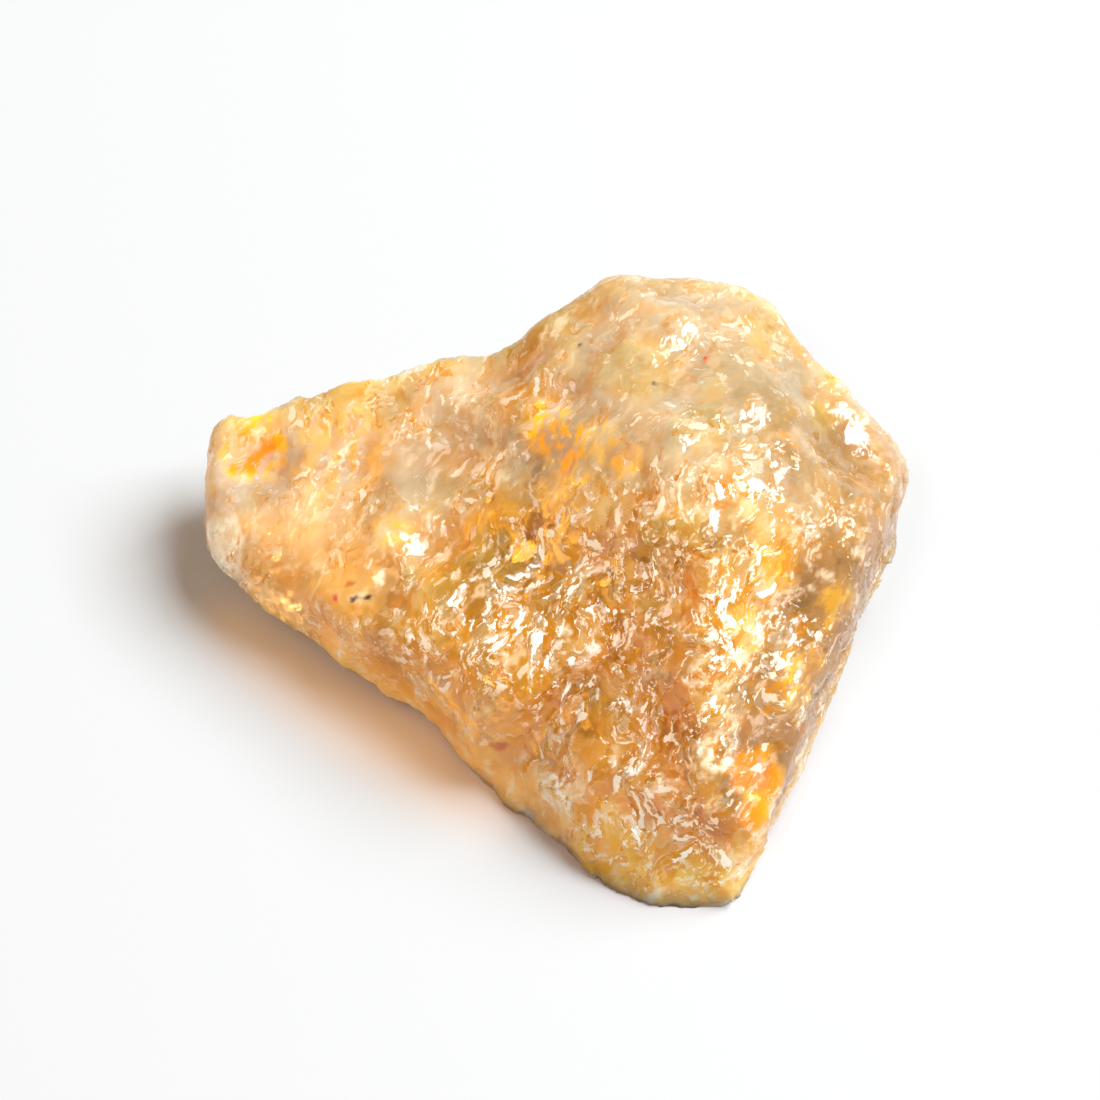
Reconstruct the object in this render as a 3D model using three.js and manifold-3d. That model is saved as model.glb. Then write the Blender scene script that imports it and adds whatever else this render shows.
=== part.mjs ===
// A rough chrysoberyl: one water-worn, honey-yellow crystal fragment, 28 mm long, broken out of a
// larger crystal. It is a single piece of stone. Two lobes have grown together: a thick body with a
// high crown and a blunt foot that points to the front, and a lower arm that runs out to the left.
// Each lobe is bounded by fracture and cleavage faces whose edges have been worn round. Shell-shaped
// chips and lumps of harder grain stand in and on the faces, and the underside ends in one small flat
// cleavage that the stone rests on.
//
// The stone is written as a depth field: a function of a point that is negative in the stone,
// positive outside and close to the distance from the surface. The mesh is its zero level.
//
// Millimetres, +Z up, +X along the stone's length, -Y towards the foot. The origin is the middle of
// the bounding box, on the plane of the resting face.
import * as THREE from "three";
import Manifold3D from "manifold-3d";

// ---- Driving dimensions -----------------------------------------------------------------------------

// The point inside the body that all faces are measured from.
const HEART = new THREE.Vector3(1.7, 1.1, 6.2);

// A face is where a plane cuts the stone: compass angle from +X and slope angle from level of its
// outward normal, and its distance from the heart.
const BODY_FACES = {
  crown: [59, 75, 6.1],
  crownLeftSlope: [160, 67, 4.75],
  crownFront: [252, 64, 4.6],
  crownRightSlope: [14, 57, 7.5],
  leftShoulder: [204, 49, 3.0],
  frontLeftFace: [230, 44, 3.25],
  frontRightFace: [312, 41, 7.3],
  rightFlank: [13, 32, 11.2],
  backWall: [90, 0, 11.65],
  backLeftWall: [125, 0, 9.6],
  backRightWall: [44, 0, 12.55],
  rightWall: [347, 0, 11.45],
  footRightWall: [336, 0, 10.35],
  footCorner: [318, 18, 13.6],
  footEnd: [264, 28, 8.15],
  footLeftWall: [240, 25, 7.35],
  leftWall: [220, 20, 5.6],
  leftUndercut: [222, -45, 10.6],
  rightUndercut: [350, -45, 10.8],
  undersideBack: [85, -62, 8.9],
  undersideRight: [350, -60, 9.8],
  undersideLeft: [190, -76, 8.0],
};
const ARM_FACES = {
  top: [212, 73, 1.9],
  backWall: [94, -8, 8.8],
  end: [177, 0, 16.3],
  endCorner: [214, 0, 14.2],
  frontSlope: [233, 28, 6.2],
  frontWall: [231.5, 0, 8.75],
  underside: [190, -77, 7.65],
  rootUnderside: [0, -90, 6.3],
  rootRight: [0, 0, 4],
  rootFront: [300, 0, 4.5],
};
const EDGE_WEAR = 0.35; // width of the rounding on the edges between faces
const VALLEY_FILL = 0.5; // width of the fillet where the lobes meet

// Shell-shaped chips: [x, y, z of a nearby point, radius of the shell, depth of the bite].
const CHIPS = {
  crownHollow: [4.4, 5.8, 11.2, 9, 0.4],
  crownRightFlat: [9.4, 8.4, 8.8, 7, 0.45],
  crownRightTrough: [11.2, 4.6, 8.0, 5, 0.45],
  crownBackFlat: [1.4, 9.6, 9.6, 5, 0.4],
  crownLeftScar: [0.2, 6.2, 9.6, 3.5, 0.35],
  crownFrontFlat: [6.4, -1.0, 10.6, 5, 0.4],
  valleyHollow: [-0.8, 3.6, 9.0, 3.4, 0.55],
  valleyMouth: [-2.2, 8.6, 8.2, 3, 0.7],
  centreHollow: [-2.4, -0.8, 7.4, 5, 0.5],
  centreStep: [1.2, -1.4, 9.2, 3.6, 0.45],
  brokenFacet: [3.9, -2.6, 9.9, 4.5, 0.45],
  middleScoop: [0.6, -5.2, 7.4, 5.5, 0.45],
  lowerScoop: [2.9, -7.4, 7.1, 4, 0.4],
  frontRightHollow: [8.3, -8.2, 5.0, 4.2, 0.55],
  frontRightStep: [9.4, -2.6, 8.6, 4.6, 0.45],
  rightScar: [10.6, -5.2, 6.0, 3.4, 0.3],
  rightBay: [12.0, 0.6, 7.8, 4, 0.45],
  footScoop: [2.2, -11.6, 4.4, 4.6, 0.45],
  footTipFlat: [5.6, -12.6, 3.4, 3.4, 0.4],
  armTipScar: [-11.9, 5.6, 5.8, 3.6, 0.45],
  armTipNick: [-9.1, 8.8, 5.9, 2.8, 0.6],
  armMiddlePit: [-8.4, 4.4, 6.6, 5, 0.35],
  armRootPit: [-4.4, 4.8, 7.6, 4.2, 0.4],
  armFrontPit: [-7.2, -0.6, 5.8, 6, 0.45],
  armSeam: [-4.8, 1.0, 6.8, 3, 0.35],
  armEndFlat: [-13.4, 2.8, 4.4, 4, 0.4],
  leftWallBay: [-6.0, -3.4, 2.0, 8, 0.9],
  leftWallHollow: [-9.8, -1.2, 3.8, 4.6, 0.35],
  backHollow: [7.0, 12.0, 6.4, 6, 0.6],
  backScoop: [1.0, 11.8, 5.0, 4.4, 0.5],
  backRightStep: [10.8, 9.4, 4.0, 5, 0.45],
  armBackBay: [-5.4, 8.8, 4.2, 5, 0.5],
  armBackScar: [-10.4, 8.6, 4.0, 3.4, 0.4],
  armUnderBay: [-9.0, 4.0, 2.4, 6, 0.5],
  rightUnderBay: [11.0, 1.5, 2.0, 5, 0.4],
  footRightBay: [8.6, -8.4, 2.4, 4.4, 0.2],
};
const CHIP_WEAR = 0.1; // width of the rounding on the rim of a chip

// Lumps of harder grain: [x, y, z of a nearby point, radius, height that stands out].
const LUMPS = {
  crownKnob: [7.4, 1.8, 10.8, 3, 0.35],
  crownBrow: [2.2, 8.0, 10.2, 3.4, 0.3],
  granularHeap: [0.4, -8.6, 5.4, 2, 0.45],
  granularGrain: [2.0, -9.8, 5.4, 1.4, 0.4],
  ridgeTop: [6.2, -4.4, 9.1, 2, 0.4],
  ridgeMiddle: [6.0, -7.0, 7.4, 1.6, 0.45],
  ridgeBottom: [5.6, -10.2, 5.2, 1.8, 0.4],
  rightBoss: [9.8, -5.6, 6.6, 2, 0.4],
  armTipKnob: [-12.8, 8.2, 4.6, 2.2, 0.55],
  armBoss: [-6.4, 2.4, 7.0, 2.6, 0.35],
  armFrontBoss: [-10.2, 1.4, 5.6, 2.4, 0.35],
  valleyGrain: [-2.4, 1.8, 7.9, 1.8, 0.4],
  leftWallBoss: [-3.4, -6.4, 4.2, 2.2, 0.35],
  backBoss: [3.8, 12.4, 7.4, 2.4, 0.35],
};
const LUMP_FILL = 0.25; // width of the fillet round a lump

// Chipped grain all over: shallow bowls between sharp ridges. Size of a bowl, depth, and its random seed.
const GRAINS = [
  { size: 3.0, depth: 0.3, seed: 11 },
  { size: 1.7, depth: 0.22, seed: 47 },
];

const MESH_EDGE = 0.7; // length of a triangle's side
const MESH_TOLERANCE = 0.01; // how far a vertex may lie off the field's zero level
const MESH_MERGE = 0.03; // sides that can be merged within this of the surface are merged

// ---- Depth field ------------------------------------------------------------------------------------

function unitVector(compass, slope) {
  const [a, e] = [compass, slope].map(THREE.MathUtils.degToRad);
  return new THREE.Vector3(Math.cos(e) * Math.cos(a), Math.cos(e) * Math.sin(a), Math.sin(e));
}

function planesOf(faces) {
  return Object.values(faces).map(([compass, slope, distance]) => {
    const normal = unitVector(compass, slope);
    return new THREE.Plane(normal, -distance - normal.dot(HEART));
  });
}

// The larger of two depths, with the edge between them worn round over the given width.
function wornMax(a, b, width) {
  const h = Math.max(width - Math.abs(a - b), 0) / width;
  return Math.max(a, b) + (h * h * width) / 4;
}

function filledMin(a, b, width) {
  return -wornMax(-a, -b, width);
}

// Inside every plane, with worn edges.
function lobeDepth(planes, point) {
  const depths = planes.map((plane) => plane.distanceToPoint(point));
  const deepest = Math.max(...depths);
  const sum = depths.reduce((total, depth) => total + Math.exp((depth - deepest) / EDGE_WEAR), 0);
  return deepest + EDGE_WEAR * Math.log(sum);
}

const bodyPlanes = planesOf(BODY_FACES);
const armPlanes = planesOf(ARM_FACES);

function lobesDepth(point) {
  return filledMin(lobeDepth(bodyPlanes, point), lobeDepth(armPlanes, point), VALLEY_FILL);
}

// The outward normal of the lobes at a point.
function lobesNormal(point) {
  const step = 0.01;
  const rise = (axis) => lobesDepth(point.clone().addScaledVector(axis, step)) - lobesDepth(point);
  const [x, y, z] = [[1, 0, 0], [0, 1, 0], [0, 0, 1]].map((axis) => rise(new THREE.Vector3(...axis)));
  return new THREE.Vector3(x, y, z).normalize();
}

// A ball whose middle stands off the lobes' surface by the given distance, near the given point.
function ballNear([x, y, z], radius, standoff) {
  const centre = new THREE.Vector3(x, y, z);
  for (let i = 0; i < 6; i++) centre.addScaledVector(lobesNormal(centre), standoff - lobesDepth(centre));
  return new THREE.Sphere(centre, radius);
}

const chips = Object.values(CHIPS).map(([x, y, z, radius, depth]) =>
  ballNear([x, y, z], radius, radius - depth),
);
const lumps = Object.values(LUMPS).map(([x, y, z, radius, height]) =>
  ballNear([x, y, z], radius, height - radius),
);

// A repeatable random number from 0 to 1 for a whole-number cell of space.
function cellRandom(i, j, k, seed) {
  let h = Math.imul(i, 374761393) ^ Math.imul(j, 668265263);
  h ^= Math.imul(k, 1440662683) ^ Math.imul(seed, 1274126177);
  h = Math.imul(h ^ (h >>> 13), 1274126177);
  h = Math.imul(h ^ (h >>> 16), 2246822519);
  return ((h ^ (h >>> 15)) >>> 0) / 4294967296;
}

// How deep the grain is cut at a point: each cell of space holds the bottom of one bowl.
function grainDepth(point, { size, depth, seed }) {
  const p = point.clone().divideScalar(size);
  const [i0, j0, k0] = p.toArray().map(Math.floor);
  let nearest = 4;
  for (let i = i0 - 1; i <= i0 + 1; i++)
    for (let j = j0 - 1; j <= j0 + 1; j++)
      for (let k = k0 - 1; k <= k0 + 1; k++) {
        const [x, y, z, rank] = [0, 1, 2, 3].map((channel) => cellRandom(i, j, k, seed + channel));
        const away = (p.x - i - x) ** 2 + (p.y - j - y) ** 2 + (p.z - k - z) ** 2;
        nearest = Math.min(nearest, away + 0.5 * rank);
      }
  return depth * (1 - nearest);
}

function stoneDepth(point) {
  let depth = lobesDepth(point);
  if (Math.abs(depth) > 2) return depth;
  for (const lump of lumps) depth = filledMin(depth, lump.distanceToPoint(point), LUMP_FILL);
  for (const chip of chips) depth = wornMax(depth, -chip.distanceToPoint(point), CHIP_WEAR);
  return depth + GRAINS.reduce((sum, grain) => sum + grainDepth(point, grain), 0);
}

// ---- The stone --------------------------------------------------------------------------------------

const kernel = await Manifold3D();
kernel.setup();

function stoneGeometry() {
  const room = { min: [-18, -17, -1], max: [18, 17, 15] };
  const field = ([x, y, z]) => -stoneDepth(new THREE.Vector3(x, y, z));
  const rough = kernel.Manifold.levelSet(field, room, MESH_EDGE, 0, MESH_TOLERANCE);
  const rested = rough.trimByPlane([0, 0, 1], 0).simplify(MESH_MERGE);
  const { min, max } = rested.boundingBox();
  const centred = rested.translate([-(min[0] + max[0]) / 2, -(min[1] + max[1]) / 2, 0]);
  const mesh = centred.getMesh();
  const geometry = new THREE.BufferGeometry();
  geometry.setAttribute("position", new THREE.BufferAttribute(mesh.vertProperties, mesh.numProp));
  geometry.setIndex(new THREE.BufferAttribute(mesh.triVerts, 1));
  geometry.computeVertexNormals();
  return geometry;
}

const honey = new THREE.MeshStandardMaterial({ color: 0xd9b26a, roughness: 0.35, metalness: 0 });
const stone = new THREE.Mesh(stoneGeometry(), honey);
stone.name = "chrysoberyl_stone";

const group = new THREE.Group();
group.add(stone);

export default group;
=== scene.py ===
import math
import bmesh
import bpy
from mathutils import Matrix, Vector


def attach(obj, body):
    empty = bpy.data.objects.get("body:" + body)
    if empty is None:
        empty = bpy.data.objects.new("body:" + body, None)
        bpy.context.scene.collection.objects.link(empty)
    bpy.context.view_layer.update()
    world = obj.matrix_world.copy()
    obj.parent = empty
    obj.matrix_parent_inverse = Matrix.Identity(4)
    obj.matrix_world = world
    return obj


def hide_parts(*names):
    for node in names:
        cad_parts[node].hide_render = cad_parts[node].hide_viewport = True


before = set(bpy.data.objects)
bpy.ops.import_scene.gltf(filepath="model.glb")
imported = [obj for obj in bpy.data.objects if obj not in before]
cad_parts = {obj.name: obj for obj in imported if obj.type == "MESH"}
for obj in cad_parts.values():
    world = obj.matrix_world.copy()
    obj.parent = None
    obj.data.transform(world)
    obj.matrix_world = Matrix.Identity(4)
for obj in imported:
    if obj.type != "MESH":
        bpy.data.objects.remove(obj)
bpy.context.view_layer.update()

scene = bpy.context.scene

# ---- The stone -------------------------------------------------------------------------------------
# One lump of rough chrysoberyl, a crystal as found in river gravel: broken into shell-shaped chips and
# small tilted flakes, sharp in the hollows and worn smooth along its rims. It is clear in some places,
# milky in others, and stained orange by iron. It lies loose on the flat face underneath.
VOXEL_M = 0.000135
MM_IN_A_METRE = 1000

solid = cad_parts["chrysoberyl_stone"]
stone_mesh = solid.data.copy()
stone_mesh.name = "rough_chrysoberyl"
loose_corners = bmesh.new()
loose_corners.from_mesh(stone_mesh)
bmesh.ops.remove_doubles(loose_corners, verts=loose_corners.verts, dist=1e-6)
loose_corners.to_mesh(stone_mesh)
loose_corners.free()
stone = bpy.data.objects.new("rough_chrysoberyl", stone_mesh)
scene.collection.objects.link(stone)
stone_finish = bpy.data.materials.new("rough_chrysoberyl")

even_skin = stone.modifiers.new("even_skin", "REMESH")
even_skin.mode = "VOXEL"
even_skin.voxel_size = VOXEL_M


class Maker:
    """Adds nodes to one tree; a term is a number, a tuple or another node's output."""

    def __init__(self, tree):
        self.tree = tree

    def node(self, kind, terms=None, **settings):
        made = self.tree.nodes.new(kind)
        for name, setting in settings.items():
            setattr(made, name, setting)
        for slot, term in (terms or {}).items():
            if isinstance(term, bpy.types.NodeSocket):
                self.tree.links.new(term, made.inputs[slot])
            else:
                made.inputs[slot].default_value = term
        return made

    # Numbers.
    def calc(self, operation, *terms):
        return self.node("ShaderNodeMath", dict(enumerate(terms)), operation=operation).outputs[0]

    def repeated(self, operation, terms):
        result = terms[0]
        for term in terms[1:]:
            result = self.calc(operation, result, term)
        return result

    def total(self, *terms):
        return self.repeated("ADD", terms)

    def product(self, *terms):
        return self.repeated("MULTIPLY", terms)

    def most(self, *terms):
        return self.repeated("MAXIMUM", terms)

    def rest(self, mask, share=1.0):
        """What is left of 1 when a share of the mask is taken away."""
        return self.calc("SUBTRACT", 1.0, self.product(mask, share))

    def ramp(self, term, low, high, to_low=0.0, to_high=1.0):
        terms = {"Value": term, "From Min": low, "From Max": high, "To Min": to_low, "To Max": to_high}
        return self.node("ShaderNodeMapRange", terms, interpolation_type="SMOOTHSTEP").outputs[0]

    # Directions and places.
    def vector(self, operation, *terms):
        return self.node("ShaderNodeVectorMath", dict(enumerate(terms)), operation=operation).outputs[0]

    def measure(self, operation, *terms):
        return self.node("ShaderNodeVectorMath", dict(enumerate(terms)), operation=operation).outputs[1]

    def scaled(self, vector, factor):
        return self.node("ShaderNodeVectorMath", {0: vector, "Scale": factor}, operation="SCALE").outputs[0]

    def turned(self, vector, turn):
        terms = {"Vector": vector, "Rotation": turn}
        return self.node("ShaderNodeVectorRotate", terms, rotation_type="EULER_XYZ").outputs[0]

    def part(self, vector, axis):
        return self.node("ShaderNodeSeparateXYZ", {0: vector}).outputs[axis]

    # Patterns and colours.
    def noise(self, place, per_mm, detail=3, rough=0.5):
        terms = {"Vector": place, "Scale": per_mm, "Detail": detail, "Roughness": rough}
        return self.node("ShaderNodeTexNoise", terms).outputs

    def cells(self, place, per_mm):
        return self.node("ShaderNodeTexVoronoi", {"Vector": place, "Scale": per_mm}).outputs

    def centred(self, colour):
        """A random colour as a direction: each part runs from -0.5 to 0.5."""
        return self.vector("SUBTRACT", colour, (0.5, 0.5, 0.5))

    def blend(self, factor, under, over):
        return self.node("ShaderNodeMix", {0: factor, 6: under, 7: over}, data_type="RGBA").outputs[2]


def surface_tree(name, sizes):
    """A geometry tree with named number inputs; gives back its maker and those inputs by name."""
    tree = bpy.data.node_groups.new(name, "GeometryNodeTree")
    tree.interface.new_socket("Stone", in_out="INPUT", socket_type="NodeSocketGeometry")
    for size, value in sizes.items():
        socket = tree.interface.new_socket(size, in_out="INPUT", socket_type="NodeSocketFloat")
        socket.default_value = value
    tree.interface.new_socket("Stone", in_out="OUTPUT", socket_type="NodeSocketGeometry")
    return Maker(tree), tree.nodes.new("NodeGroupInput").outputs


def keep(maker, geometry, name, kind, value):
    """Stores a value at each point of the surface under a name that the material reads."""
    terms = {"Geometry": geometry, "Name": name, "Value": value}
    return maker.node("GeometryNodeStoreNamedAttribute", terms, data_type=kind, domain="POINT").outputs[0]


def finish_tree(maker, geometry, sizes):
    """Ends a tree, puts it on the stone as a modifier and sets the modifier's inputs."""
    real = maker.node("GeometryNodeRealizeInstances", {0: geometry}).outputs[0]
    dressed = maker.node("GeometryNodeSetMaterial", {"Geometry": real, "Material": stone_finish}).outputs[0]
    maker.node("NodeGroupOutput", {0: dressed})
    modifier = stone.modifiers.new(maker.tree.name, "NODES")
    modifier.node_group = maker.tree
    for item in maker.tree.interface.items_tree:
        if item.in_out == "INPUT" and item.name in sizes:
            modifier[item.identifier] = sizes[item.name]


# Its broken surface: shell-shaped chips first, then flat flakes, then splinters on the flakes.
breakage_sizes = {
    "Chips per mm": 0.52,
    "Chip depth mm": 0.17,
    "Flakes per mm": 1.05,
    "Flake slant": 0.24,
    "Flake step mm": 0.05,
    "Splinters per mm": 2.3,
    "Splinter slant": 0.22,
    "Splinter step mm": 0.02,
    "Seed": 3.7,
}
CHIP_MIDDLE = 0.55  # nearer its centre than this a chip is hollow, further out it stands up
CHIP_SOFTNESS = 0.12
BEND_MM = 1.3  # how far the edges of chips and flakes wander
RIM_LIFT = 0.5

shape, sizes_in = surface_tree("chipped_surface", breakage_sizes)
place = shape.scaled(shape.node("GeometryNodeInputPosition").outputs[0], MM_IN_A_METRE)
shifted = shape.vector("ADD", place, sizes_in["Seed"])
bend = shape.scaled(shape.centred(shape.noise(shifted, 0.7, 2)["Color"]), BEND_MM)
bent = shape.vector("ADD", shifted, bend)

chip_terms = {"Vector": bent, "Scale": sizes_in["Chips per mm"], "Smoothness": CHIP_SOFTNESS}
chip = shape.node("ShaderNodeTexVoronoi", chip_terms, feature="SMOOTH_F1").outputs["Distance"]
chip_rise = shape.product(shape.calc("SUBTRACT", chip, CHIP_MIDDLE), sizes_in["Chip depth mm"])


def slanted_flakes(kind):
    """Rise of flat flakes, each leaning its own way and lying at its own level."""
    cell = shape.cells(bent, sizes_in[kind + "s per mm"])
    off_centre = shape.vector("SUBTRACT", bent, cell["Position"])
    lean = shape.measure("DOT_PRODUCT", off_centre, shape.centred(cell["Color"]))
    level = shape.calc("SUBTRACT", shape.part(cell["Color"], 1), 0.5)
    slant = shape.product(lean, sizes_in[kind + " slant"])
    return shape.total(slant, shape.product(level, sizes_in[kind + " step mm"]))


fresh = shape.ramp(shape.noise(shifted, 0.22)[0], 0.40, 0.60, 0.45, 1.0)
flake_rise = shape.total(slanted_flakes("Flake"), slanted_flakes("Splinter"))
rise = shape.total(chip_rise, shape.product(flake_rise, fresh))

# The broad lie of the surface before it is chipped, with the corners of the solid smoothed out. Low
# down at the rim it is turned up a little, where the white table lights the stone from below.
normal = shape.node("GeometryNodeInputNormal").outputs[0]
smoothing = {"Value": normal, "Iterations": 8}
broad = shape.node("GeometryNodeBlurAttribute", smoothing, data_type="FLOAT_VECTOR").outputs[0]
near_table = shape.ramp(shape.part(place, 2), 1.6, 0.3)
lift = shape.node("ShaderNodeCombineXYZ", {"Z": shape.product(near_table, RIM_LIFT)}).outputs[0]
broad = shape.vector("NORMALIZE", shape.vector("ADD", broad, lift))
surface = keep(shape, sizes_in["Stone"], "broad_normal", "FLOAT_VECTOR", broad)
surface = keep(shape, surface, "rise_mm", "FLOAT", rise)
offset = shape.scaled(normal, shape.product(rise, 1 / MM_IN_A_METRE))
surface = shape.node("GeometryNodeSetPosition", {"Geometry": surface, "Offset": offset}).outputs[0]

# The resting face stays flat: nothing reaches below the plane the stone lies on.
LOWEST = (-1.0, -1.0, 0.0)  # in metres: only the height is held
above = shape.vector("MAXIMUM", shape.node("GeometryNodeInputPosition").outputs[0], LOWEST)
surface = shape.node("GeometryNodeSetPosition", {"Geometry": surface, "Position": above}).outputs[0]
finish_tree(shape, surface, breakage_sizes)

# Its colours: pale honey and milky at the crown, deeper gold and clearer low down, with a smooth peach
# skin on the worn flank, white where the rims are bruised, and orange where iron has got in. Part of it
# is painted light and shade: painted shade on the crown, the deep gold, the hollows and the right strip,
# and painted light on the low side turned from the softbox and on the rim at the table.
HONEY = (0.82, 0.43, 0.075, 1)
CREAM = (0.86, 0.53, 0.17, 1)
CROWN_GREY = (0.50, 0.385, 0.245, 1)
PAINTED_CROWN_SHADE = (0.37, 0.27, 0.14, 1)
ARM_BUFF = (0.53, 0.43, 0.33, 1)
GOLD_AND_SHADE = (0.64, 0.26, 0.010, 1)
HOLLOW_GOLD_SHADE = (0.74, 0.31, 0.006, 1)
APRICOT_LIGHT = (0.96, 0.49, 0.13, 1)
OLIVE = (0.68, 0.45, 0.06, 1)
PEACH = (0.94, 0.47, 0.15, 1)
RIM_GLOW_ORANGE = (0.98, 0.33, 0.11, 1)
TAN_AND_SHADE = (0.42, 0.222, 0.073, 1)
FROST_AND_HIGHLIGHT = (0.90, 0.76, 0.55, 1)
SHELL_WHITE = (0.93, 0.80, 0.66, 1)
LACE_AND_GLINT_WHITE = (0.95, 0.86, 0.76, 1)
AMBER = (0.95, 0.52, 0.016, 1)
DEEP_RUST = (0.70, 0.17, 0.006, 1)
RUST = (0.55, 0.15, 0.02, 1)
CRIMSON = (0.75, 0.10, 0.12, 1)
SCARLET = (0.70, 0.04, 0.02, 1)
BLACK = (0.03, 0.02, 0.015, 1)
WHITE = (1, 1, 1, 1)

# The breaks run from the front of the stone to the back, leaning to the right.
GRAIN_TURN = (0.2, 0.15, math.radians(-62))

zone_sizes = {"Clouds per mm": 0.25, "Veins per mm": 1.1, "Grit per mm": 1.6, "Drift mm": 1.4, "Seed": 0.0}
paint, zones_in = surface_tree("mineral_zones", zone_sizes)
stone_mm = paint.scaled(paint.node("GeometryNodeInputPosition").outputs[0], MM_IN_A_METRE)
seeded = paint.vector("ADD", stone_mm, zones_in["Seed"])
drift = paint.scaled(paint.centred(paint.noise(seeded, 0.9)["Color"]), zones_in["Drift mm"])
drifted = paint.vector("ADD", stone_mm, drift)
grain = paint.vector("MULTIPLY", paint.turned(drifted, GRAIN_TURN), (0.5, 1.25, 1.0))


def patches(*spots, edge=0.5):
    """A mask of round patches, each with its centre and radius in mm and its strength; the edge is the
    share of the radius over which a patch fades out."""
    strongest = 0.0
    for centre, radius, strength in spots:
        away = paint.measure("LENGTH", paint.vector("SUBTRACT", drifted, centre))
        patch = paint.ramp(away, radius * (1 + edge / 2), radius * (1 - edge / 2))
        strongest = paint.most(strongest, paint.product(patch, strength))
    return strongest


# The large zones, from the body colour up.
clouds = paint.noise(drifted, zones_in["Clouds per mm"], 4)[0]
colour = paint.blend(paint.ramp(clouds, 0.42, 0.60), HONEY, CREAM)
# The crown in a greyer, darker colour: partly its own pale tint and partly painted shade that tones down
# the faces turned up to the softbox.
crown = patches(
    ((6.0, 6.0, 10.0), 6.5, 1.0), ((8.8, 3.0, 9.6), 4.0, 1.0), ((12.0, 4.0, 6.5), 4.0, 1.0),
    edge=0.9,
)
colour = paint.blend(crown, colour, CROWN_GREY)
# Painted shade: the right of the crown, which faces the softbox, is darkened.
painted_crown_shade = patches(((8.8, 5.0, 9.6), 3.2, 1.0), ((10.5, 2.0, 8.4), 2.8, 0.8), edge=1.0)
colour = paint.blend(paint.product(painted_crown_shade, 0.8), colour, PAINTED_CROWN_SHADE)
arm = patches(
    ((-11.0, 3.4, 4.6), 4.5, 1.0), ((-7.0, 3.5, 6.0), 4.0, 0.8),
    ((-3.6, 6.4, 6.6), 2.8, 0.8), ((-0.6, 4.0, 8.6), 2.6, 0.6),
    edge=1.0,
)
colour = paint.blend(paint.product(arm, 0.85), colour, ARM_BUFF)
# Deeper gold on the front faces: partly the crystal's own depth of colour and partly painted shade where
# these faces turn away from the softbox.
deep_gold_and_shade = patches(
    ((-1.5, -1.2, 7.0), 3.2, 0.85), ((0.8, -4.6, 6.6), 3.4, 0.95), ((3.2, -7.4, 5.4), 3.0, 0.9),
    ((7.8, -8.6, 4.2), 2.4, 0.8), ((4.8, -11.4, 2.2), 2.4, 0.6), ((-3.6, -4.0, 5.2), 2.4, 0.5),
    edge=1.0,
)
colour = paint.blend(deep_gold_and_shade, colour, GOLD_AND_SHADE)
# Deeper gold in the hollows of the chipped surface: painted shade in the recesses, over the deeper colour
# of fresh breaks.
risen = paint.node("GeometryNodeInputNamedAttribute", {"Name": "rise_mm"}, data_type="FLOAT").outputs[0]
hollow = paint.product(paint.ramp(risen, 0.01, -0.07), paint.rest(paint.most(crown, arm), 0.7))
colour = paint.blend(paint.product(hollow, 0.75), colour, HOLLOW_GOLD_SHADE)
# Painted light: warm apricot low down on the side turned from the softbox, where light comes through the
# stone.
warm = patches(
    ((-9.5, 0.0, 2.8), 4.0, 0.7), ((3.0, -10.2, 2.0), 4.2, 0.6), ((-0.4, -7.4, 2.8), 2.4, 0.6),
    edge=1.0,
)
colour = paint.blend(warm, colour, APRICOT_LIGHT)

# Windows, where a clean break lets the eye into the clear crystal.
clean_breaks = patches(
    ((4.1, -1.9, 9.8), 1.2, 1.0), ((5.4, -1.6, 10.4), 0.9, 0.9), ((10.7, 5.1, 8.3), 1.0, 1.0),
    ((13.2, 3.0, 6.8), 1.5, 1.0), ((11.6, 8.0, 6.4), 1.1, 0.8), ((8.2, 8.6, 9.0), 1.0, 0.6),
    ((5.7, -11.2, 1.4), 1.2, 1.0), ((7.6, -9.2, 3.8), 1.0, 1.0), ((-2.1, -0.2, 6.5), 1.3, 0.8),
    ((3.3, 6.1, 10.5), 1.6, 0.6), ((5.7, 3.0, 11.2), 1.2, 0.6),
)
scattered = paint.ramp(paint.noise(grain, 0.75, 3)[0], 0.56, 0.64)
window = paint.most(clean_breaks, paint.product(scattered, 0.35))
colour = paint.blend(paint.product(window, 0.5), colour, OLIVE)

# The worn skin of the front flank, the rim at the table, and the tan strip down the right side. The peach
# of the skin is its worn colour, lightened as painted light on the flank turned from the softbox.
height = paint.part(drifted, 2)
facing = paint.part(paint.node("GeometryNodeInputNormal").outputs[0], 1)
skin = paint.product(paint.ramp(height, 2.3, 1.2), paint.ramp(facing, 0.2, -0.3))
skin = paint.product(skin, paint.ramp(paint.part(drifted, 0), 1.5, -1.5, 0.15, 1.0))
# The rim at the table in orange: painted light, a glow of the light that comes through the thin edge.
rim = paint.ramp(height, 1.5, 0.2)
colour = paint.blend(paint.product(skin, 0.75), colour, PEACH)
colour = paint.blend(paint.product(rim, 0.9), colour, RIM_GLOW_ORANGE)
# The tan strip: its own colour, darkened as painted shade where the right side faces the softbox.
strip = patches(
    ((11.2, -2.0, 6.6), 3.4, 1.0), ((9.6, -5.6, 5.4), 3.4, 1.0), ((8.0, -8.6, 4.0), 2.6, 1.0),
    ((12.4, 2.6, 6.8), 3.2, 0.9), ((9.8, 2.6, 9.2), 2.6, 0.5),
    edge=0.8,
)
colour = paint.blend(strip, colour, TAN_AND_SHADE)

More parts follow.
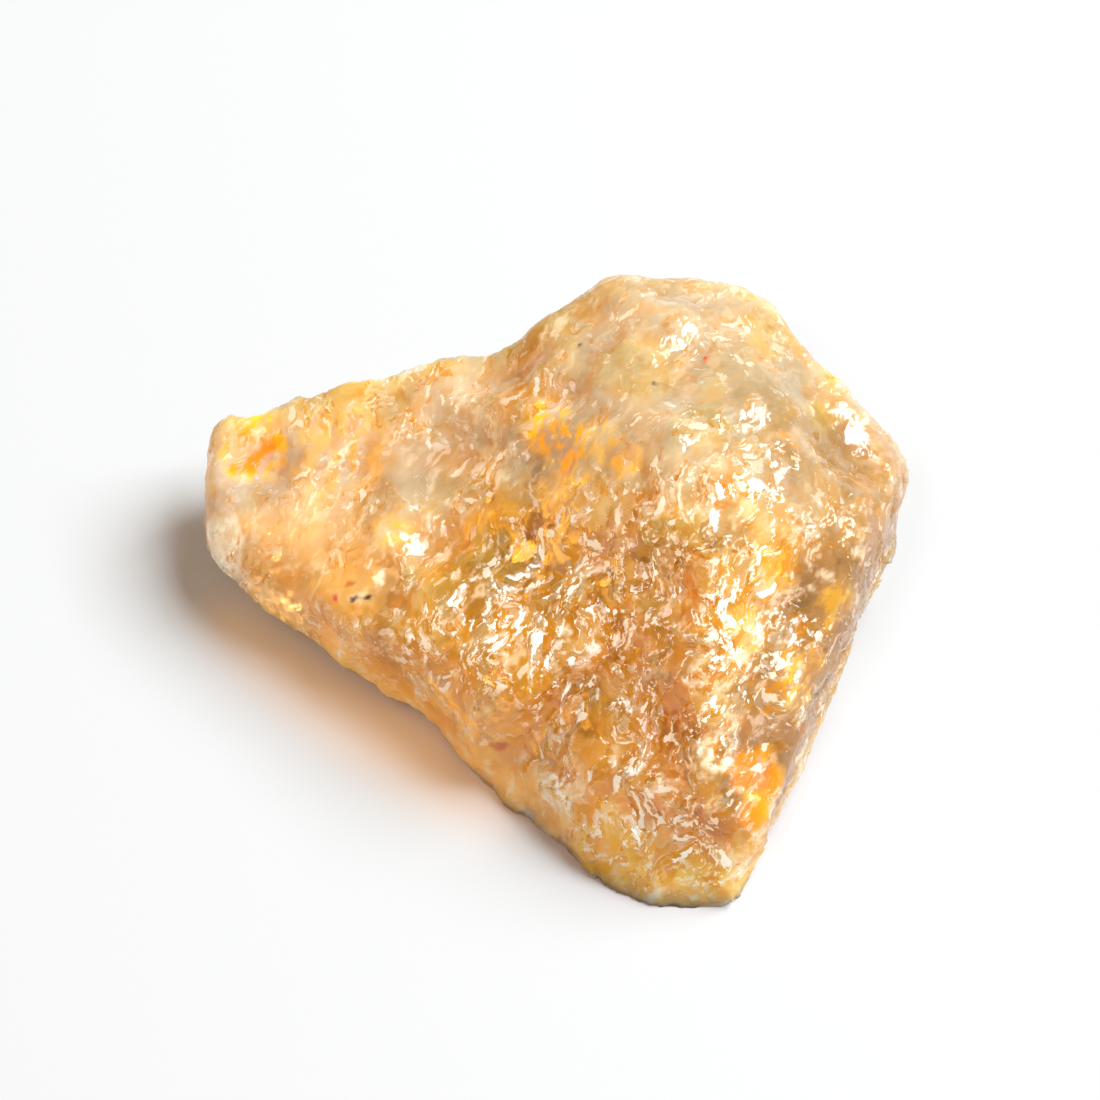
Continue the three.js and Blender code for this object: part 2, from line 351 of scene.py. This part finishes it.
# Frosting: white veins along the breaks, and bruises on the corners that stick out.
veins = paint.ramp(paint.noise(grain, zones_in["Veins per mm"], 6, 0.62)[0], 0.54, 0.64)
calm = paint.most(paint.product(crown, 0.75), paint.product(arm, 0.5))
veins = paint.product(veins, paint.rest(calm), 0.6)
bruises = patches(
    ((-13.2, 2.2, 3.6), 1.2, 0.9), ((0.2, -8.0, 2.8), 1.3, 0.7), ((6.3, -8.3, 5.6), 0.8, 0.8),
    ((6.2, -6.2, 7.6), 0.7, 0.6),
)
ragged_edge = paint.ramp(paint.noise(grain, 1.8, 5, 0.6)[0], 0.42, 0.54)
frosting = paint.most(veins, paint.product(bruises, ragged_edge))
colour = paint.blend(frosting, colour, FROST_AND_HIGHLIGHT)

# Iron stains, gritty at their edges and rust red where they are thickest, and the shell-white tip.
grit = paint.ramp(paint.noise(grain, zones_in["Grit per mm"], 6, 0.65)[0], 0.45, 0.55)
stains = patches(
    ((-12.0, 6.4, 4.7), 1.6, 0.9), ((-12.4, 5.8, 4.8), 1.1, 1.0), ((-11.4, 6.3, 5.1), 0.9, 1.0),
    ((-8.6, 5.4, 6.0), 2.2, 0.45), ((-6.4, 1.4, 6.2), 0.8, 0.6), ((-6.0, 8.2, 4.4), 1.8, 0.5),
    ((-0.3, 4.5, 9.1), 1.2, 1.0), ((0.6, 3.1, 9.2), 1.1, 1.0), ((0.6, 1.8, 9.4), 0.8, 0.9),
    ((2.7, 1.6, 10.5), 0.7, 0.7), ((1.8, 2.9, 10.3), 1.0, 0.5), ((7.0, 11.4, 6.4), 2.0, 0.5),
    ((7.4, -4.5, 8.4), 0.9, 0.6), ((8.4, -2.4, 9.0), 0.9, 0.5), ((9.6, -5.2, 5.9), 1.2, 0.6),
    ((10.7, -2.6, 7.2), 0.9, 0.5), ((7.6, -8.6, 4.2), 1.1, 1.0), ((8.4, -8.4, 3.6), 0.8, 1.0),
    ((7.8, -9.5, 3.3), 0.7, 0.8), ((1.6, -10.6, 1.0), 1.3, 0.7), ((1.9, -9.0, 3.0), 0.8, 0.5),
    ((3.1, -10.6, 1.8), 0.8, 0.5),
    edge=0.7,
)
colour = paint.blend(paint.product(stains, grit), colour, AMBER)
rusty = patches(
    ((7.4, -8.5, 4.4), 0.9, 1.0), ((8.3, -8.5, 3.6), 0.9, 1.0), ((7.7, -9.6, 3.2), 0.8, 0.9),
    ((-12.2, 6.2, 4.7), 1.1, 0.8), ((1.6, -10.6, 1.0), 1.0, 0.5), ((-0.2, 4.3, 9.1), 0.6, 0.2),
    edge=0.7,
)
colour = paint.blend(paint.product(rusty, paint.ramp(grit, 0.2, 0.8, 0.35, 0.9)), colour, DEEP_RUST)
shell = patches(((-13.3, 2.2, 3.6), 1.3, 0.8), ((-12.9, 1.0, 2.9), 0.7, 0.6), edge=0.4)
colour = paint.blend(shell, colour, SHELL_WHITE)

# Freckles of rust all over, and a few grains of other minerals: centre and half sizes in mm.
freckles = paint.ramp(paint.noise(stone_mm, 2.2, 3, 0.6)[0], 0.64, 0.70)
colour = paint.blend(paint.product(freckles, 0.3), colour, RUST)
for centre, half_size, grain_colour in (
    ((-7.85, -0.9, 4.8), (0.22, 0.12, 0.3), BLACK),
    ((-7.3, -0.9, 4.9), (0.18, 0.12, 0.3), BLACK),
    ((-8.0, -0.3, 5.0), (0.22, 0.10, 0.3), RUST),
    ((-8.6, -0.8, 4.7), (0.12, 0.12, 0.2), CRIMSON),
    ((1.0, 7.7, 9.7), (0.10, 0.10, 0.2), BLACK),
    ((3.9, 5.4, 10.5), (0.10, 0.10, 0.2), BLACK),
    ((5.9, 6.8, 10.2), (0.10, 0.12, 0.2), SCARLET),
    ((-2.1, -6.5, 2.9), (0.30, 0.30, 0.3), RUST),
):
    away = paint.vector("DIVIDE", paint.vector("SUBTRACT", stone_mm, centre), half_size)
    speck = paint.ramp(paint.measure("LENGTH", away), 1.3, 0.7)
    colour = paint.blend(speck, colour, grain_colour)

# How clear it is: cloudy by nature, and milkier at the crown and arm, low down and in the stains.
cloudiness = paint.noise(drifted, 0.5, 4, 0.6)[0]
clear = paint.total(paint.ramp(cloudiness, 0.38, 0.62, 0.36, 0.60), paint.product(window, 0.10))
pale = paint.most(paint.product(crown, 0.25), paint.product(arm, 0.35))
low = paint.ramp(height, 3.5, 0.8)
milky = paint.most(
    paint.product(frosting, 0.8), paint.product(low, 0.9), paint.product(paint.most(stains, rusty), 0.85)
)
clear = paint.product(clear, paint.rest(pale), paint.rest(milky))

# How much it is broken up into facets: most on the front and down the right, least where it is worn.
busy = patches(
    ((1.5, -3.0, 7.0), 5.5, 1.0), ((7.0, -5.5, 7.0), 5.0, 1.0), ((6.5, 1.5, 11.0), 3.4, 0.9),
    ((4.5, -9.8, 2.6), 4.2, 0.9), ((-3.4, -3.6, 4.4), 3.2, 0.8), ((0.2, -8.0, 2.8), 1.8, 1.0),
    edge=0.8,
)
busy = paint.most(busy, paint.ramp(paint.noise(stone_mm, 0.30)[0], 0.40, 0.60, 0.35, 0.70))
quiet = patches(
    ((-7.8, -0.7, 4.8), 1.0, 1.0), ((1.0, 7.7, 9.7), 0.5, 1.0), ((3.9, 5.4, 10.5), 0.5, 1.0),
    ((5.9, 6.8, 10.2), 0.5, 1.0),
)
even = paint.most(
    paint.product(crown, 0.45), paint.product(strip, 0.45), paint.product(arm, 0.45),
    paint.product(quiet, 0.9),
)
worn = paint.most(paint.product(skin, 0.6), paint.product(rim, 0.8))
broken_up = paint.product(busy, paint.rest(worn), paint.rest(even))

surface = keep(paint, zones_in["Stone"], "stone_colour", "FLOAT_COLOR", colour)
surface = keep(paint, surface, "clearness", "FLOAT", clear)
dulled = paint.most(frosting, paint.product(skin, 0.6), rim)
surface = keep(paint, surface, "frosting", "FLOAT", dulled)
surface = keep(paint, surface, "broken_up", "FLOAT", broken_up)
finish_tree(paint, surface, zone_sizes)

finished = bpy.data.meshes.new_from_object(stone.evaluated_get(bpy.context.evaluated_depsgraph_get()))
stone.modifiers.clear()
stone.data = finished
finished.name = "rough_chrysoberyl"
finished.shade_smooth()

# Its finish: fresh breaks shine like wet glass. Flat facets inside each flake catch the light one by
# one; each size of facet breaks up the one above it, except where a facet has stayed whole.
FACET_LAYERS = ((1.3, 0.55), (3.2, 0.75), (7.5, 0.75))  # facets per mm, and how far they lean
FACET_STRETCH = (0.62, 1.25, 1.0)
FACET_BOW = 0.30
RAGGED_MM = 0.35
SWAY_MM = 2.2
INDEX_OF_REFRACTION = 1.75
MIRROR_LEVEL = 0.22
FRESH_ROUGHNESS = 0.08
WORN_ROUGHNESS = 0.28  # added to the fresh roughness
MILK_DEPTH_M = 0.0050
MILK_SPREAD = (1.0, 0.8, 0.55)
CRYSTAL_TINT = (0.995, 0.81, 0.26, 1)
TINT_PER_M = 120

stone_finish.use_nodes = True
stone_finish.node_tree.nodes.clear()
look = Maker(stone_finish.node_tree)


def kept(name, out):
    return look.node("ShaderNodeAttribute", attribute_name=name).outputs[out]


mm = look.scaled(look.node("ShaderNodeTexCoord").outputs["Object"], MM_IN_A_METRE)
ragged = look.centred(look.noise(mm, 2.4, 3, 0.6)["Color"])
sway = look.centred(look.noise(mm, 0.45, 2)["Color"])
facet_mm = look.vector("ADD", mm, look.scaled(ragged, RAGGED_MM))
facet_mm = look.vector("ADD", facet_mm, look.scaled(sway, SWAY_MM))
facet_mm = look.vector("MULTIPLY", look.turned(facet_mm, GRAIN_TURN), FACET_STRETCH)

broken_up = kept("broken_up", "Fac")
tilted = look.vector("NORMALIZE", kept("broad_normal", "Vector"))
whole = broken_up
facet_lights_and_shades = []
glint_shards = []
for per_mm, lean_by in FACET_LAYERS:
    cell = look.cells(facet_mm, per_mm)
    lean = look.centred(cell["Color"])
    bow = look.scaled(look.vector("SUBTRACT", facet_mm, cell["Position"]), per_mm * FACET_BOW)
    tilt = look.scaled(look.vector("ADD", lean, bow), look.product(whole, lean_by))
    tilted = look.vector("ADD", tilted, tilt)
    facet_lights_and_shades.append(look.product(look.part(lean, 0), whole))
    glint_shards.append(look.product(look.ramp(look.part(cell["Color"], 1), 0.90, 0.93), whole))
    whole = look.product(whole, look.ramp(look.part(cell["Color"], 2), 0.35, 0.50, 0.10, 1.0))
tilted = look.vector("NORMALIZE", tilted)

# Fine white lace along the torn edges, partly frosting and partly painted glints, and single shards of the
# two smaller sizes painted white as glints.
lace_and_glints = look.ramp(look.noise(facet_mm, 2.4, 5, 0.70)["Fac"], 0.54, 0.58)
lace_fields = look.ramp(look.noise(facet_mm, 0.55, 3)["Fac"], 0.42, 0.58)
lace_and_glints = look.product(lace_and_glints, lace_fields, look.ramp(broken_up, 0.35, 0.90))
lace_and_glints = look.most(look.product(lace_and_glints, 0.85), *glint_shards[1:])

# Light that has got inside leaves through any face it meets, so the far walls are all clear.
inside = look.node("ShaderNodeNewGeometry").outputs["Backfacing"]
tilted = look.scaled(tilted, look.rest(inside, 2.0))
# Painted highlight and painted shade: facets that lean towards the softbox are whitened, those that lean
# away are deepened to gold.
facet_light_and_shade = look.total(look.product(facet_lights_and_shades[0], 0.6), *facet_lights_and_shades[1:])
colour = kept("stone_colour", "Color")
colour = look.blend(look.ramp(facet_light_and_shade, 0.05, 0.55, 0.0, 0.45), colour, FROST_AND_HIGHLIGHT)
colour = look.blend(look.ramp(facet_light_and_shade, 0.0, -0.38, 0.0, 0.80), colour, GOLD_AND_SHADE)
colour = look.blend(lace_and_glints, colour, LACE_AND_GLINT_WHITE)
colour = look.blend(inside, colour, WHITE)
clear = look.most(look.product(kept("clearness", "Fac"), look.rest(lace_and_glints, 0.8)), inside)
roughness = look.total(FRESH_ROUGHNESS, look.product(kept("frosting", "Fac"), WORN_ROUGHNESS))

crystal = look.node(
    "ShaderNodeBsdfPrincipled",
    {
        "IOR": INDEX_OF_REFRACTION,
        "Specular IOR Level": MIRROR_LEVEL,
        "Base Color": colour,
        "Roughness": roughness,
        "Transmission Weight": clear,
        "Normal": tilted,
        "Subsurface Weight": 1.0,
        "Subsurface Radius": MILK_SPREAD,
        "Subsurface Scale": MILK_DEPTH_M,
    },
)
tint = look.node("ShaderNodeVolumeAbsorption", {"Color": CRYSTAL_TINT, "Density": TINT_PER_M})
look.node("ShaderNodeOutputMaterial", {"Surface": crystal.outputs[0], "Volume": tint.outputs[0]})

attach(stone, "root")
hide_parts("chrysoberyl_stone")

# ---- The table -------------------------------------------------------------------------------------
# A plain table top under the stone, painted matt white and much wider than the camera sees, so that
# its edges don't show. It is no part of the stone.
TABLE_HALF_M = 3.0
TABLE_WHITE = (0.42, 0.42, 0.42, 1)

table_mesh = bpy.data.meshes.new("table")
table_corners = [(x * TABLE_HALF_M, y * TABLE_HALF_M, 0) for x, y in ((-1, -1), (1, -1), (1, 1), (-1, 1))]
table_mesh.from_pydata(table_corners, [], [(0, 1, 2, 3)])
table = bpy.data.objects.new("table", table_mesh)
scene.collection.objects.link(table)
white = bpy.data.materials.new("white_table")
white.use_nodes = True
white_paint = white.node_tree.nodes["Principled BSDF"]
white_paint.inputs["Base Color"].default_value = TABLE_WHITE
white_paint.inputs["Roughness"].default_value = 0.9
white_paint.inputs["Specular IOR Level"].default_value = 0.1
table_mesh.materials.append(white)

# ---- The light -------------------------------------------------------------------------------------
# A soft warm room, with a large square softbox to the right and a little behind the stone, rather more
# than halfway up, and a small one in front that picks out the facets.
ROOM_COLOUR = (1.0, 0.64, 0.38, 1)
ROOM_STRENGTH = 0.51
LAMP_REACH_M = 0.6
STONE_MIDDLE = Vector((0, 0, 0.005))

room = bpy.data.worlds.new("soft_room")
room.use_nodes = True
room.node_tree.nodes["Background"].inputs["Color"].default_value = ROOM_COLOUR
room.node_tree.nodes["Background"].inputs["Strength"].default_value = ROOM_STRENGTH
scene.world = room


def softbox(name, compass, height, size, watts, colour):
    """A square lamp that faces the stone from a compass direction and a height, both in degrees."""
    lamp = bpy.data.lights.new(name, "AREA")
    lamp.shape = "SQUARE"
    lamp.size = size
    lamp.energy = watts
    lamp.color = colour
    around, up = math.radians(compass), math.radians(height)
    reach = Vector((math.cos(up) * math.cos(around), math.cos(up) * math.sin(around), math.sin(up)))
    holder = bpy.data.objects.new(name, lamp)
    holder.location = STONE_MIDDLE + LAMP_REACH_M * reach
    holder.rotation_euler = (-reach).to_track_quat("-Z", "Y").to_euler()
    scene.collection.objects.link(holder)


softbox("key", compass=20, height=52, size=0.42, watts=8.9, colour=(0.955, 1.08, 1.16))
softbox("front", compass=235, height=60, size=0.18, watts=0.90, colour=(1.0, 1.0, 1.0))

# The warm light that the stone lets through lies on the table on the side away from the softbox.
glow = bpy.data.lights.new("glow", "AREA")
glow.shape = "ELLIPSE"
glow.size = 0.016
glow.size_y = 0.003
glow.energy = 0.000095
glow.color = (1.0, 0.41, 0.03)
glow.spread = math.radians(110)
glow_holder = bpy.data.objects.new("glow", glow)
glow_holder.location = (-0.0078, -0.0034, 0.0022)
glow_holder.rotation_euler = (0, 0, math.radians(-40))
glow_holder.visible_camera = False
glow_holder.visible_glossy = False
glow_holder.visible_transmission = False
scene.collection.objects.link(glow_holder)

# ---- The camera ------------------------------------------------------------------------------------
# A long lens that looks steeply down on the stone from in front of it and fills the square frame.
LENS_MM = 150
SENSOR_MM = 36
FRAME_WIDTH_M = 0.0428
CAMERA_HEIGHT = math.radians(57)
AIM = Vector((-0.00018, 0.00013, 0.00671))

camera_data = bpy.data.cameras.new("camera")
camera_data.lens = LENS_MM
camera_data.sensor_width = SENSOR_MM
camera_data.clip_start = 0.005
camera = bpy.data.objects.new("camera", camera_data)
scene.collection.objects.link(camera)
back = Vector((0, -math.cos(CAMERA_HEIGHT), math.sin(CAMERA_HEIGHT)))
camera.location = AIM + back * (FRAME_WIDTH_M * LENS_MM / SENSOR_MM)
camera.rotation_euler = back.to_track_quat("Z", "Y").to_euler()
scene.camera = camera
scene.view_settings.view_transform = "Standard"
